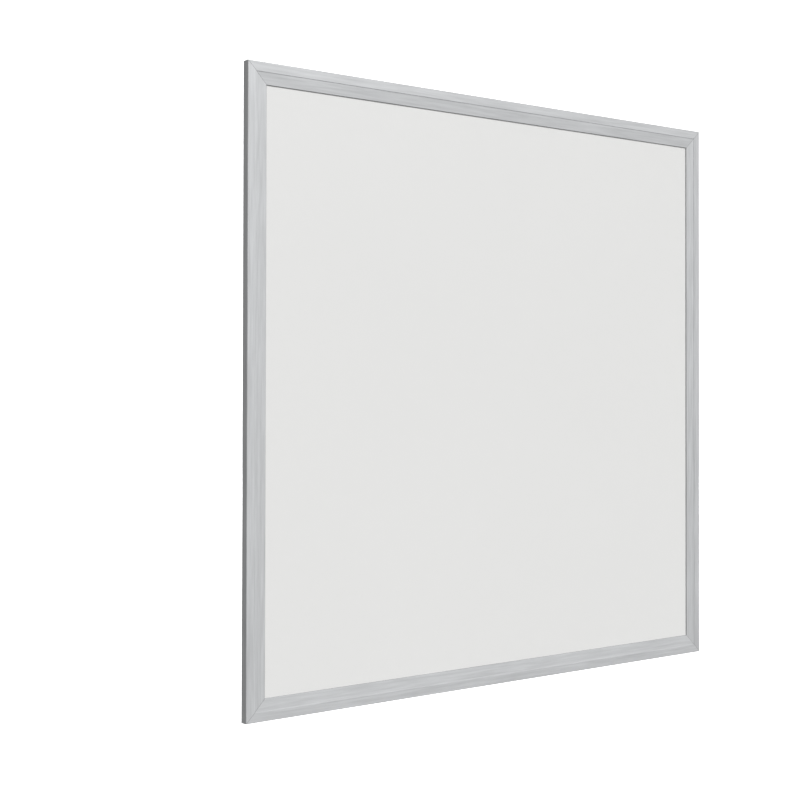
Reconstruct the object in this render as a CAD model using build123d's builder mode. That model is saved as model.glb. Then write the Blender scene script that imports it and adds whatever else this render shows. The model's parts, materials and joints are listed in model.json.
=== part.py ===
"""Back-lit LED panel light, 595 x 595 mm: a mitred aluminium frame, an opal diffuser and a pressed steel back
cover with six ribs, which hold six LED boards. Its driver is screwed to the back.

Row frame, in millimetres: X runs across the panel, Z up it, and Y from the lit front to the back. The origin is the
middle of the panel, in the plane of the back cover's flange, where the suspension holes are.
"""

import os
from math import atan, hypot, tan

from build123d import *

os.makedirs("parts", exist_ok=True)

# ---------------------------------------------------------------- driving dimensions
SIZE = 595.0  # outside edge of the frame, for a 600 mm ceiling grid
HALF = SIZE / 2

FRONT_Y = -5.5  # front rim of the frame
FRAME_DEPTH = 8.5
RIM_BACK_Y = FRONT_Y + FRAME_DEPTH
LIP_WIDTH = 20.3  # front face of the frame, from its outside edge to the diffuser
FLAT_BAND = 8.8  # flat outer part of that face; the rest slopes in
REAR_LIP = 4.6
WALL = 1.2
MITRE_GAP = 0.05  # on each side of a mitre

SCREW_LINE = 8.4  # screw channel, in from the frame's outside edge
CHANNEL_HALF = 1.4
SCREW_STATIONS = (-247.5, -150.0, 0.0, 150.0, 247.5)
HOLE_STATIONS = (-168.0, 168.0)  # suspension holes on each side
HOLE_R = 1.6

SHEET = 0.5  # steel of the back cover
FLANGE_INSET = 5.4
FOOT_INSET = 15.0  # where the cover's wall leaves its flange
PLATEAU_INSET = 27.0
PLATEAU_Y = 30.0
FOOT_CORNER_R = 16.0
PLATEAU_CORNER_R = 7.0
WALL_RUN = (PLATEAU_INSET - FOOT_INSET) / PLATEAU_Y  # inset gained for each mm of depth
WALL_SHIFT = SHEET * hypot(1, WALL_RUN)  # a sheet's thickness, measured across the panel

BOARDS = 6
BOARD_PITCH = 90.0
BOARD_XS = [(i - (BOARDS - 1) / 2) * BOARD_PITCH for i in range(BOARDS)]
RIB_LENGTH = 502.0
RIB_WIDTH = 26.0
RIB_HEIGHT = 2.0
RIB_BEVEL = 3.0
RIB_CORNER_R = 7.0

LEDS = 6
LED_PITCH = 90.0
LED_ZS = [(i - (LEDS - 1) / 2) * LED_PITCH for i in range(LEDS)]
LENS_R = 7.5

SEAT_Y = FRONT_Y + 2.5  # the diffuser's front
DIFFUSER_THICK = 1.8

REFLECTOR_BACK_Y = 26.9
REFLECTOR_GAP = 0.45

# Driver, between the two middle ribs
CASE_HALF_W = 26.0
CASE_TOP_Z = 85.0
CASE_BOTTOM_Z = -85.0
CASE_WALL = 1.6
CASE_RIM_Y = 52.0
LID_THICK = 2.0
HINGE_Z = -38.0
HINGE_Y = 51.4
HINGE_R = LID_THICK + CASE_RIM_Y - HINGE_Y
PIN_R = 1.0
BAY_WALL_Z = -34.0  # middle of the wall between driver and terminals
EAR_LENGTH = 15.0
PAD_Z = 93.0
PAD_HEIGHT = 3.0
PAD_R = 10.0
POLE_XS = (-9.0, 0.0, 9.0)  # live, earth and neutral
BUTTON_TRAVEL = 1.0
BUTTON_Z = -48.0


def at(y):
    """A sketch plane at depth y, with X to the right and Z up. Extrude a negative amount to go towards the back."""
    return Plane.XZ.offset(-y)


def save(name, part):
    part.label = name
    export_step(part, f"parts/{name}.step")


def square(inset, radius):
    """A rounded square that stands `inset` in from the frame's outside edge."""
    return RectangleRounded(SIZE - 2 * inset, SIZE - 2 * inset, radius)


# ---------------------------------------------------------------- frame
# (inward from the outside edge, back from the front face)
RIB_TOP = -FRONT_Y - SHEET
FRAME_SECTION = [
    (0.0, 0.4),
    (0.4, 0.0),
    (FLAT_BAND, 0.0),
    (FLAT_BAND + 0.35, 0.45),
    (LIP_WIDTH - 0.4, 1.4),
    (LIP_WIDTH, 1.75),
    (LIP_WIDTH, 2.5),
    (SCREW_LINE + CHANNEL_HALF + WALL, 2.5),
    (SCREW_LINE + CHANNEL_HALF + WALL, RIB_TOP),
    (SCREW_LINE + CHANNEL_HALF, RIB_TOP),
    (SCREW_LINE + CHANNEL_HALF, WALL),
    (SCREW_LINE - CHANNEL_HALF, WALL),
    (SCREW_LINE - CHANNEL_HALF, RIB_TOP),
    (SCREW_LINE - CHANNEL_HALF - WALL, RIB_TOP),
    (SCREW_LINE - CHANNEL_HALF - WALL, WALL),
    (WALL, WALL),
    (WALL, FRAME_DEPTH - WALL),
    (REAR_LIP, FRAME_DEPTH - WALL),
    (REAR_LIP, FRAME_DEPTH - 0.3),
    (REAR_LIP - 0.3, FRAME_DEPTH),
    (0.4, FRAME_DEPTH),
    (0.0, FRAME_DEPTH - 0.4),
]

SIDES = {
    "bottom": Vector(0, 0, 1),
    "right": Vector(-1, 0, 0),
    "top": Vector(0, 0, -1),
    "left": Vector(1, 0, 0),
}

for side, inward in SIDES.items():
    along = inward.cross(Vector(0, 1, 0))
    start = inward * -HALF + Vector(0, FRONT_Y, 0)
    with BuildPart() as member:
        with BuildSketch(Plane(origin=start, x_dir=inward, z_dir=along)):
            with BuildLine():
                Polyline(*FRAME_SECTION, close=True)
            make_face()
        extrude(amount=HALF, both=True)
        for way in (1, -1):
            mitre = Plane(origin=along * (-way * MITRE_GAP), z_dir=inward + along * way)
            split(bisect_by=mitre, keep=Keep.BOTTOM)
    save(f"frame_{side}", member.part)

KEY_LEG = 46.0
KEY_OUT = WALL + 0.1
KEY_IN = FLANGE_INSET - 0.2
KEY_FRONT_Y = FRONT_Y + WALL + 0.1
KEY_BACK_Y = RIM_BACK_Y - WALL - 0.1
CORNERS = {
    "bottom_left": (-1, -1),
    "bottom_right": (1, -1),
    "top_right": (1, 1),
    "top_left": (-1, 1),
}
for corner, (sx, sz) in CORNERS.items():
    x0, z0 = sx * (HALF - KEY_OUT), sz * (HALF - KEY_OUT)
    x1, z1 = sx * (HALF - KEY_IN), sz * (HALF - KEY_IN)
    x2, z2 = sx * (HALF - KEY_LEG), sz * (HALF - KEY_LEG)
    with BuildPart() as corner_key:
        with BuildSketch(at(KEY_FRONT_Y)):
            with BuildLine():
                Polyline((x0, z0), (x2, z0), (x2, z1), (x1, z1), (x1, z2), (x0, z2), close=True)
            make_face()
        extrude(amount=-(KEY_BACK_Y - KEY_FRONT_Y))
        leg_ends = corner_key.edges().filter_by(Axis.Y).sort_by_distance((x0, 0, z0))[2:]
        chamfer(leg_ends, 0.8)
    save(f"corner_key_{corner}", corner_key.part)

# ---------------------------------------------------------------- diffuser and its gasket
DIFFUSER_INSET = 11.6
with BuildPart() as diffuser:
    with BuildSketch(at(SEAT_Y)):
        square(DIFFUSER_INSET, 1.0)
    extrude(amount=-DIFFUSER_THICK)
save("diffuser", diffuser.part)

GASKET_OUT = 11.8
GASKET_WIDTH = 3.2
GASKET_FRONT_Y = SEAT_Y + DIFFUSER_THICK
GASKET_LENGTH = SIZE - 2 * (GASKET_OUT + GASKET_WIDTH) - 0.4
with BuildPart() as diffuser_gasket:
    with BuildSketch(at(GASKET_FRONT_Y)):
        for turn in range(4):
            with Locations(Location((0, 0, 0), (0, 0, 90 * turn))):
                with Locations((0, HALF - GASKET_OUT - GASKET_WIDTH / 2)):
                    Rectangle(GASKET_LENGTH, GASKET_WIDTH)
    extrude(amount=-(-SHEET - GASKET_FRONT_Y))
save("diffuser_gasket", diffuser_gasket.part)

# ---------------------------------------------------------------- back cover
# The driver stands on two round pads, one past each end of its case. Its leads go in through one hole.
PADS = [(0.0, PAD_Z), (0.0, -PAD_Z)]
LEAD_HOLE = (0.0, 74.0)
LEAD_HOLE_R = 5.0
PAD_BEVEL = 3.0
DRIVER_SCREW_R = 1.6


def rounded_box(low_y, high_y, low_inset, high_inset, low_r, high_r, edge_r):
    """A solid between two rounded squares, with the edge round its back rounded by edge_r."""
    with BuildPart() as box:
        for y, inset, radius in ((low_y, low_inset, low_r), (high_y, high_inset, high_r)):
            with BuildSketch(at(y)):
                square(inset, radius)
        loft()
        fillet(box.faces().sort_by(Axis.Y)[-1].edges(), edge_r)
    return box.part


def bump(y, height, width, length, bevel, corner_r, centre):
    """A low boss with sloping sides, raised from depth y towards the back."""
    with BuildPart() as boss:
        with BuildSketch(at(y)):
            with Locations(centre):
                RectangleRounded(width, length, corner_r)
        with BuildSketch(at(y + height)):
            with Locations(centre):
                RectangleRounded(width - 2 * bevel, length - 2 * bevel, corner_r - bevel)
        loft()
    return boss.part


def bevel_shift(height, bevel):
    """How far a bump's side stands in on the inside of the sheet, at the plane of the sheet's inner face."""
    slope = atan(height / bevel)
    return SHEET * tan(slope / 2)


PLATEAU_EDGE_R = 6.0
FOOT_EDGE_R = 3.0
outside = rounded_box(
    0.0, PLATEAU_Y, FOOT_INSET, PLATEAU_INSET, FOOT_CORNER_R, PLATEAU_CORNER_R, PLATEAU_EDGE_R
)
INNER_FOOT = FOOT_INSET + WALL_SHIFT - WALL_RUN * SHEET
INNER_PLATEAU = PLATEAU_INSET + WALL_SHIFT - WALL_RUN * SHEET
inside = rounded_box(
    -SHEET,
    PLATEAU_Y - SHEET,
    INNER_FOOT,
    INNER_PLATEAU,
    FOOT_CORNER_R - SHEET,
    PLATEAU_CORNER_R - SHEET,
    PLATEAU_EDGE_R - SHEET,
)
BUMPS = [(RIB_HEIGHT, RIB_WIDTH, RIB_LENGTH, RIB_BEVEL, RIB_CORNER_R, (x, 0.0)) for x in BOARD_XS]
BUMPS += [(PAD_HEIGHT, 2 * PAD_R, 2 * PAD_R, PAD_BEVEL, PAD_R - 0.01, pad) for pad in PADS]

with BuildPart() as back_cover:
    with BuildSketch(at(-SHEET)):
        square(FLANGE_INSET, 1.5)
    extrude(amount=-SHEET)
    add(outside)
    flange = back_cover.faces().filter_by(Plane.XZ).group_by(Axis.Y)[-2].sort_by(SortBy.AREA)[-1]
    fillet(flange.inner_wires()[0].edges(), FOOT_EDGE_R)
    for height, width, length, bevel, corner_r, centre in BUMPS:
        add(bump(PLATEAU_Y, height, width, length, bevel, corner_r, centre))
    add(inside, mode=Mode.SUBTRACT)
    for height, width, length, bevel, corner_r, centre in BUMPS:
        shift = 2 * bevel_shift(height, bevel)
        pocket = bump(
            PLATEAU_Y - SHEET, height, width - shift, length - shift, bevel, corner_r - shift / 2, centre
        )
        add(pocket, mode=Mode.SUBTRACT)
    for inward in SIDES.values():
        along = inward.cross(Vector(0, 1, 0))
        line = inward * (SCREW_LINE - HALF)
        for station in SCREW_STATIONS:
            spot = line + along * station
            with BuildSketch(at(-SHEET)):
                with Locations((spot.X, spot.Z)):
                    Circle(CHANNEL_HALF + 0.3)
            extrude(amount=-SHEET, mode=Mode.SUBTRACT)
        for station in HOLE_STATIONS:
            spot = line + along * station
            with BuildSketch(at(-SHEET)):
                with Locations((spot.X, spot.Z)):
                    Circle(HOLE_R)
            extrude(amount=-SHEET, mode=Mode.SUBTRACT)
    with BuildSketch(at(PLATEAU_Y - SHEET)):
        with Locations(LEAD_HOLE):
            Circle(LEAD_HOLE_R)
        with Locations(*PADS):
            Circle(DRIVER_SCREW_R + 0.05)
    extrude(amount=-(SHEET + PAD_HEIGHT), mode=Mode.SUBTRACT)
save("back_cover", back_cover.part)

# ---------------------------------------------------------------- screws
def pan_head(seat, head_r, head_height, shank_r, shank_length, recess):
    """A cross-recessed pan-head screw. Its head is on `seat`, an (x, y, z) point, and it points to the front."""
    x, y, z = seat
    with BuildPart() as screw:
        with BuildSketch(Plane(origin=seat, x_dir=(1, 0, 0), z_dir=(0, 0, 1))):
            with BuildLine():
                TangentArc((0, head_height), (head_r, 0.45 * head_height), tangent=(1, 0))
                Polyline(
                    (head_r, 0.45 * head_height),
                    (head_r, 0),
                    (shank_r, 0),
                    (shank_r, -shank_length + 1.2 * shank_r),
                    (0.25 * shank_r, -shank_length),
                    (0, -shank_length),
                    (0, head_height),
                )
            make_face()
        revolve(axis=Axis(seat, (0, 1, 0)))
        with BuildSketch(at(y + head_height)):
            with Locations((x, z)):
                Rectangle(2 * recess, 0.5 * recess)
                Rectangle(0.5 * recess, 2 * recess)
        extrude(amount=0.6 * head_height, mode=Mode.SUBTRACT)
    return screw.part


with BuildPart() as cover_screws:
    for inward in SIDES.values():
        along = inward.cross(Vector(0, 1, 0))
        for station in SCREW_STATIONS:
            spot = inward * (SCREW_LINE - HALF) + along * station
            add(pan_head((spot.X, 0.0, spot.Z), 2.8, 1.9, CHANNEL_HALF - 0.02, 4.2, 1.3))
save("cover_screws", cover_screws.part)

# ---------------------------------------------------------------- LED boards and their lenses
TAPE_BACK_Y = PLATEAU_Y + RIB_HEIGHT - SHEET
TAPE_THICK = 0.2
BOARD_THICK = 1.2
BOARD_FRONT_Y = TAPE_BACK_Y - TAPE_THICK - BOARD_THICK
BOARD_WIDTH = 18.0
BOARD_LENGTH = 490.0
CHIP_SIZE = 3.0
CHIP_HEIGHT = 0.7
LENS_HEIGHT = 5.4
CONNECTOR_Z = 239.0
CONNECTOR_HEIGHT = 2.6
WIRE_STEP = 2.0  # each wire's distance from the middle of a connector
WIRE_R = 0.8
WIRE_Y = 27.8

with BuildPart() as board_tapes:
    with BuildSketch(at(TAPE_BACK_Y - TAPE_THICK)):
        with Locations(*[(x, 0) for x in BOARD_XS]):
            Rectangle(BOARD_WIDTH - 2, BOARD_LENGTH - 6)
    extrude(amount=-TAPE_THICK)
save("board_tapes", board_tapes.part)

for number, board_x in enumerate(BOARD_XS, start=1):
    with BuildPart() as led_board:
        with BuildSketch(at(BOARD_FRONT_Y)):
            with Locations((board_x, 0)):
                Rectangle(BOARD_WIDTH, BOARD_LENGTH)
        extrude(amount=-BOARD_THICK)
        fillet(led_board.edges().filter_by(Axis.Y), 1.0)
    save(f"led_board_{number}", led_board.part)

LED_SPOTS = [(x, z) for x in BOARD_XS for z in LED_ZS]
with BuildPart() as leds:
    with BuildSketch(at(BOARD_FRONT_Y)):
        with Locations(*LED_SPOTS):
            Rectangle(CHIP_SIZE, CHIP_SIZE)
    extrude(amount=CHIP_HEIGHT)
save("leds", leds.part)


def lens(x, z):
    """A clear dished lens that stands over one LED and faces the front."""
    foot = (x, BOARD_FRONT_Y, z)
    with BuildPart() as dish:
        with BuildSketch(Plane(origin=foot, x_dir=(1, 0, 0), z_dir=(0, 0, 1))):
            with BuildLine():
                Polyline((2.6, 0), (LENS_R, 0), (LENS_R, -1.2))
                Spline(
                    (LENS_R, -1.2),
                    (6.2, -4.0),
                    (3.2, -LENS_HEIGHT),
                    (0, -4.7),
                    tangents=((0, -1), (-1, 0)),
                )
                Line((0, -4.7), (0, -2.6))
                TangentArc((0, -2.6), (2.6, 0), tangent=(1, 0))
            make_face()
        revolve(axis=Axis(foot, (0, 1, 0)))
    return dish.part


with BuildPart() as lenses:
    for x, z in LED_SPOTS:
        add(lens(x, z))
save("lenses", lenses.part)

with BuildPart() as board_connectors:
    with BuildSketch(at(BOARD_FRONT_Y)):
        with Locations(*[(x, CONNECTOR_Z) for x in BOARD_XS]):
            RectangleRounded(10, 8.6, 0.5)
    extrude(amount=CONNECTOR_HEIGHT)
save("board_connectors", board_connectors.part)

# The driver's leads end in a two-way splice between the two middle boards.
SPLICE_HALF_W = 8.0
SPLICE_HALF_H = 5.5
with BuildPart() as lead_splice:
    with BuildSketch(at(PLATEAU_Y - SHEET)):
        with Locations((0, CONNECTOR_Z)):
            RectangleRounded(2 * SPLICE_HALF_W, 2 * SPLICE_HALF_H, 0.8)
    extrude(amount=2.3)
    chamfer(lead_splice.faces().sort_by(Axis.Y)[0].edges(), 0.4)
save("lead_splice", lead_splice.part)

stops = sorted([x - 5 for x in BOARD_XS] + [x + 5 for x in BOARD_XS] + [-SPLICE_HALF_W, SPLICE_HALF_W])
stops = stops[1:-1]
for colour, way in (("red", 1), ("black", -1)):
    with BuildPart() as jumpers:
        for left, right in zip(stops[::2], stops[1::2]):
            start = Plane(origin=(left, WIRE_Y + 0.3, CONNECTOR_Z + way * WIRE_STEP), z_dir=(1, 0, 0))
            with BuildSketch(start):
                Circle(WIRE_R)
            extrude(amount=right - left)
    save(f"jumper_wires_{colour}", jumpers.part)

# ---------------------------------------------------------------- reflector and the pads that hold it
REFLECTOR_THICK = 0.5
REFLECTOR_FRONT_Y = -0.2


def inset_at(y, gap):
    """The inset of a wall that stands `gap` inside the back cover's wall, at depth y."""
    return FOOT_INSET + WALL_SHIFT + WALL_RUN * y + gap


def tray(gap, back_y, edge_r):
    """A solid that fills the back cover to `back_y`, with its walls `gap` inside the cover's."""
    return rounded_box(
        REFLECTOR_FRONT_Y,
        back_y,
        inset_at(REFLECTOR_FRONT_Y, gap),
        inset_at(back_y, gap),
        FOOT_CORNER_R - SHEET - gap,
        PLATEAU_CORNER_R - SHEET - gap + 1,
        edge_r,
    )


with BuildPart() as reflector:
    add(tray(REFLECTOR_GAP, REFLECTOR_BACK_Y, 4.0))
    add(
        tray(REFLECTOR_GAP + REFLECTOR_THICK, REFLECTOR_BACK_Y - REFLECTOR_THICK, 3.5),
        mode=Mode.SUBTRACT,
    )
    with BuildSketch(at(REFLECTOR_BACK_Y)):
        with GridLocations(BOARD_PITCH, LED_PITCH, BOARDS, LEDS):
            Circle(LENS_R + 0.7)
    extrude(amount=2 * REFLECTOR_THICK, mode=Mode.SUBTRACT)
save("reflector", reflector.part)

with BuildPart() as reflector_pads:
    with BuildSketch(at(REFLECTOR_BACK_Y)):
        with Locations(*[(x * BOARD_PITCH, z * LED_PITCH) for x in (-2, -1, 1, 2) for z in (-2, 0, 2)]):
            RectangleRounded(18, 18, 1)
        with GridLocations(6 * BOARD_PITCH - 36, 4 * LED_PITCH, 2, 2):
            RectangleRounded(10, 30, 1)
    extrude(amount=-(PLATEAU_Y - SHEET - REFLECTOR_BACK_Y))
save("reflector_pads", reflector_pads.part)

# ---------------------------------------------------------------- driver case
CASE_BACK_OF_PAD_Y = PLATEAU_Y + PAD_HEIGHT  # the case stands on the pads at this depth
FLOOR_Y = CASE_BACK_OF_PAD_Y + CASE_WALL
INNER_HALF_W = CASE_HALF_W - CASE_WALL
CASE_LENGTH = CASE_TOP_Z - CASE_BOTTOM_Z
CASE_MIDDLE_Z = (CASE_TOP_Z + CASE_BOTTOM_Z) / 2
BAY_TOP_Z = BAY_WALL_Z - CASE_WALL / 2
CABLE_Y = 42.5
CABLE_R = 4.5
KNUCKLE_HALF = 11.0
LID_SCREW_SPOTS = [(-22.4, 81.4), (22.4, 81.4), (-22.4, -29.8), (22.4, -29.8)]
LID_POST_HALF = 2.6
POST_HOLE_R = 1.0
CLAMP_Z = -73.0
CLAMP_SCREW_X = 10.5
CLAMP_POST_Y = 44.0
PCB_Y = FLOOR_Y + 2.0
PCB_THICK = 1.6
PCB_TOP_Y = PCB_Y + PCB_THICK
PCB_TOP_Z = 66.0
PCB_BOTTOM_Z = -31.5
PCB_HALF_W = 22.6
PCB_POSTS = [(-16.0, 61.0), (16.0, 61.0), (-19.0, -22.0), (19.0, -22.0)]

with BuildPart() as driver_case:
    with BuildSketch(at(CASE_BACK_OF_PAD_Y)):
        with Locations((0, CASE_MIDDLE_Z)):
            RectangleRounded(2 * CASE_HALF_W, CASE_LENGTH, 2.5)
    extrude(amount=-(CASE_RIM_Y - CASE_BACK_OF_PAD_Y))
    with BuildSketch(at(FLOOR_Y)):
        with Locations((0, (CASE_TOP_Z - CASE_WALL + BAY_TOP_Z + CASE_WALL) / 2)):
            Rectangle(2 * INNER_HALF_W, CASE_TOP_Z - CASE_WALL - BAY_TOP_Z - CASE_WALL)
        with Locations((0, (BAY_TOP_Z + CASE_BOTTOM_Z + CASE_WALL) / 2)):
            Rectangle(2 * INNER_HALF_W, BAY_TOP_Z - CASE_BOTTOM_Z - CASE_WALL)
    extrude(amount=-(CASE_RIM_Y - FLOOR_Y), mode=Mode.SUBTRACT)
    # An ear past each end, with the screw hole that meets a pad.
    with BuildSketch(at(CASE_BACK_OF_PAD_Y)):
        for way in (1, -1):
            with Locations((0, way * (CASE_TOP_Z + EAR_LENGTH / 2 - 2))):
                RectangleRounded(16, EAR_LENGTH + 4, 3)
        with Locations(*PADS):
            Circle(DRIVER_SCREW_R + 0.2, mode=Mode.SUBTRACT)
    extrude(amount=-CASE_WALL - 0.6)
    # Posts for the lid's screws, the board and the cord clamp.
    with BuildSketch(at(FLOOR_Y)):
        with Locations(*LID_SCREW_SPOTS):
            Rectangle(2 * LID_POST_HALF, 2 * LID_POST_HALF)
    extrude(amount=-(CASE_RIM_Y - FLOOR_Y))
    with BuildSketch(at(FLOOR_Y)):
        with Locations(*PCB_POSTS):
            Circle(2.4)
    extrude(amount=-(PCB_Y - FLOOR_Y))
    with BuildSketch(at(FLOOR_Y)):
        with Locations((-CLAMP_SCREW_X, CLAMP_Z), (CLAMP_SCREW_X, CLAMP_Z)):
            Circle(3.2)
    extrude(amount=-(CLAMP_POST_Y - FLOOR_Y))
    with BuildSketch(at(FLOOR_Y)):
        with Locations((0, CLAMP_Z)):
            Rectangle(9, 3)
    extrude(amount=-3.2)
    # The middle knuckle of the terminal cover's hinge, on the wall between the two rooms.
    knuckle_plane = Plane(origin=(0, HINGE_Y, HINGE_Z), x_dir=(0, 1, 0), z_dir=(1, 0, 0))
    with BuildSketch(knuckle_plane):
        Circle(HINGE_R)
        with Locations((-HINGE_R / 2 - 0.2, (BAY_WALL_Z - HINGE_Z) / 2)):
            Rectangle(HINGE_R, BAY_WALL_Z - HINGE_Z)
        Circle(PIN_R + 0.05, mode=Mode.SUBTRACT)
    extrude(amount=KNUCKLE_HALF, both=True)
    # Holes: the output leads, the cable, the contact strips and the screws.
    with BuildSketch(at(CASE_BACK_OF_PAD_Y)):
        with Locations(LEAD_HOLE):
            Circle(LEAD_HOLE_R - 0.6)
    extrude(amount=-CASE_WALL, mode=Mode.SUBTRACT)
    with BuildSketch(Plane.XY.offset(CASE_BOTTOM_Z)):
        with Locations((0, CABLE_Y)):
            Circle(CABLE_R)
    extrude(amount=CASE_WALL, mode=Mode.SUBTRACT)
    with BuildSketch(Plane.XY.offset(BAY_TOP_Z)):
        with Locations(*[(x, PCB_TOP_Y + 0.3) for x in POLE_XS]):
            Rectangle(3.6, 1.4)
    extrude(amount=CASE_WALL, mode=Mode.SUBTRACT)
    with BuildSketch(at(CASE_RIM_Y)):
        with Locations(*LID_SCREW_SPOTS):
            Circle(POST_HOLE_R)
    extrude(amount=8, mode=Mode.SUBTRACT)
    with BuildSketch(at(PCB_Y)):
        with Locations(*PCB_POSTS):
            Circle(POST_HOLE_R)
    extrude(amount=2.6, mode=Mode.SUBTRACT)
    with BuildSketch(at(CLAMP_POST_Y)):
        with Locations((-CLAMP_SCREW_X, CLAMP_Z), (CLAMP_SCREW_X, CLAMP_Z)):
            Circle(POST_HOLE_R)
    extrude(amount=7, mode=Mode.SUBTRACT)
save("driver_case", driver_case.part)

LID_BOTTOM_Z = -33.6
with BuildPart() as driver_lid:
    with BuildSketch(at(CASE_RIM_Y)):
        with Locations((0, (CASE_TOP_Z + LID_BOTTOM_Z) / 2)):
            RectangleRounded(2 * CASE_HALF_W, CASE_TOP_Z - LID_BOTTOM_Z, 1.5)
        with Locations(*LID_SCREW_SPOTS):
            Circle(POST_HOLE_R + 0.3, mode=Mode.SUBTRACT)
    extrude(amount=-LID_THICK)
    rim = driver_lid.faces().sort_by(Axis.Y)[-1].outer_wire().edges()
    chamfer(rim, 0.6)
    # Slots that let the warm air out.
    with BuildSketch(at(CASE_RIM_Y)):
        with Locations((0, 30)):
            with GridLocations(0, 5, 1, 9):
                SlotOverall(26, 2)
    extrude(amount=-LID_THICK, mode=Mode.SUBTRACT)
save("driver_lid", driver_lid.part)

COVER_GAP = 0.3
COVER_WIDE_Z = -41.0
COVER_KNUCKLE_OUT = INNER_HALF_W - 0.4
with BuildPart() as terminal_cover:
    with BuildSketch(at(CASE_RIM_Y + COVER_GAP)):
        with Locations((0, (COVER_WIDE_Z + CASE_BOTTOM_Z) / 2)):
            RectangleRounded(2 * CASE_HALF_W, COVER_WIDE_Z - CASE_BOTTOM_Z, 1.5)
        with Locations((0, CASE_BOTTOM_Z - 1)):
            RectangleRounded(16, 6, 1)
    extrude(amount=-(LID_THICK - COVER_GAP))
    chamfer(terminal_cover.faces().sort_by(Axis.Y)[-1].outer_wire().edges(), 0.5)
    for way in (1, -1):
        knuckle_middle = way * (COVER_KNUCKLE_OUT + KNUCKLE_HALF + 0.3) / 2
        knuckle_half = (COVER_KNUCKLE_OUT - KNUCKLE_HALF - 0.3) / 2
        with BuildSketch(knuckle_plane.offset(knuckle_middle)):
            Circle(HINGE_R)
            with Locations(((COVER_GAP + LID_THICK) / 2 + CASE_RIM_Y - HINGE_Y, -2)):
                Rectangle(LID_THICK - COVER_GAP, 4)
            Circle(PIN_R, mode=Mode.SUBTRACT)
        extrude(amount=knuckle_half, both=True)
save("terminal_cover", terminal_cover.part)

with BuildPart() as hinge_pin:
    with BuildSketch(knuckle_plane):
        Circle(PIN_R)
    extrude(amount=COVER_KNUCKLE_OUT - 0.2, both=True)
    chamfer(hinge_pin.edges().filter_by(GeomType.CIRCLE), 0.2)
save("hinge_pin", hinge_pin.part)

# ---------------------------------------------------------------- terminal block
BLOCK_BACK_Y = 46.0
BLOCK_HALF_W = 14.0
BLOCK_MOUTH_Z = -58.0
BLOCK_TOP_Z = -40.0
WIRE_ENTRY_Y = PCB_TOP_Y + 2.0
with BuildPart() as terminal_block:
    with BuildSketch(at(FLOOR_Y)):
        with Locations((0, (BLOCK_MOUTH_Z + BLOCK_TOP_Z) / 2)):
            Rectangle(2 * BLOCK_HALF_W, BLOCK_TOP_Z - BLOCK_MOUTH_Z)
    extrude(amount=-(BLOCK_BACK_Y - FLOOR_Y))
    chamfer(terminal_block.edges().filter_by(Axis.X).group_by(Axis.Y)[-1], 1.0)
    for pole_x in POLE_XS:
        with BuildSketch(at(PCB_TOP_Y - 0.2)):
            with Locations((pole_x, -48.5)):
                Rectangle(6.4, 11)
        extrude(amount=-4.6, mode=Mode.SUBTRACT)
        with BuildSketch(at(PCB_TOP_Y + 4.4)):
            with Locations((pole_x, BUTTON_Z)):
                Rectangle(4.4, 4.4)
        extrude(amount=-(BLOCK_BACK_Y - PCB_TOP_Y - 4.4), mode=Mode.SUBTRACT)
        with BuildSketch(Plane.XY.offset(BLOCK_MOUTH_Z)):
            with Locations((pole_x, WIRE_ENTRY_Y)):
                Circle(1.7)
        extrude(amount=5, mode=Mode.SUBTRACT)
        with BuildSketch(Plane.XY.offset(BLOCK_TOP_Z)):
            with Locations((pole_x, PCB_TOP_Y + 0.3)):
                Rectangle(3.4, 1.0)
        extrude(amount=-4, mode=Mode.SUBTRACT)
save("terminal_block", terminal_block.part)

for pole, pole_x in zip(("live", "earth", "neutral"), POLE_XS):
    with BuildPart() as button:
        with BuildSketch(at(PCB_TOP_Y + 3.7)):
            with Locations((pole_x, BUTTON_Z)):
                Rectangle(5.2, 5.2)
        extrude(amount=-0.4)
        with BuildSketch(at(PCB_TOP_Y + 4.1)):
            with Locations((pole_x, BUTTON_Z)):
                Rectangle(3.8, 3.8)
        extrude(amount=-(BLOCK_BACK_Y + BUTTON_TRAVEL + 0.8 - PCB_TOP_Y - 4.1))
        chamfer(button.faces().sort_by(Axis.Y)[-1].edges(), 0.4)
        with BuildSketch(at(BLOCK_BACK_Y + BUTTON_TRAVEL + 0.8)):
            with Locations((pole_x, BUTTON_Z)):
                Rectangle(2.0, 0.6)
        extrude(amount=0.5, mode=Mode.SUBTRACT)
    save(f"release_button_{pole}", button.part)

with BuildPart() as contact_strips:
    with BuildSketch(at(PCB_TOP_Y)):
        with Locations(*[(x, -41) for x in POLE_XS]):
            Rectangle(3.0, 25)
    extrude(amount=-0.6)
save("contact_strips", contact_strips.part)

with BuildPart() as clamp_springs:
    for pole_x in POLE_XS:
        with BuildSketch(Plane(origin=(pole_x, PCB_TOP_Y, 0), x_dir=(0, 0, 1), z_dir=(-1, 0, 0))):
            with BuildLine():
                Polyline((-43.6, 1.0), (-43.6, 1.7), (-47.0, 2.1), (-52.6, 1.15))
            trace(line_width=0.28)
        extrude(amount=1.4, both=True)
save("clamp_springs", clamp_springs.part)

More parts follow.
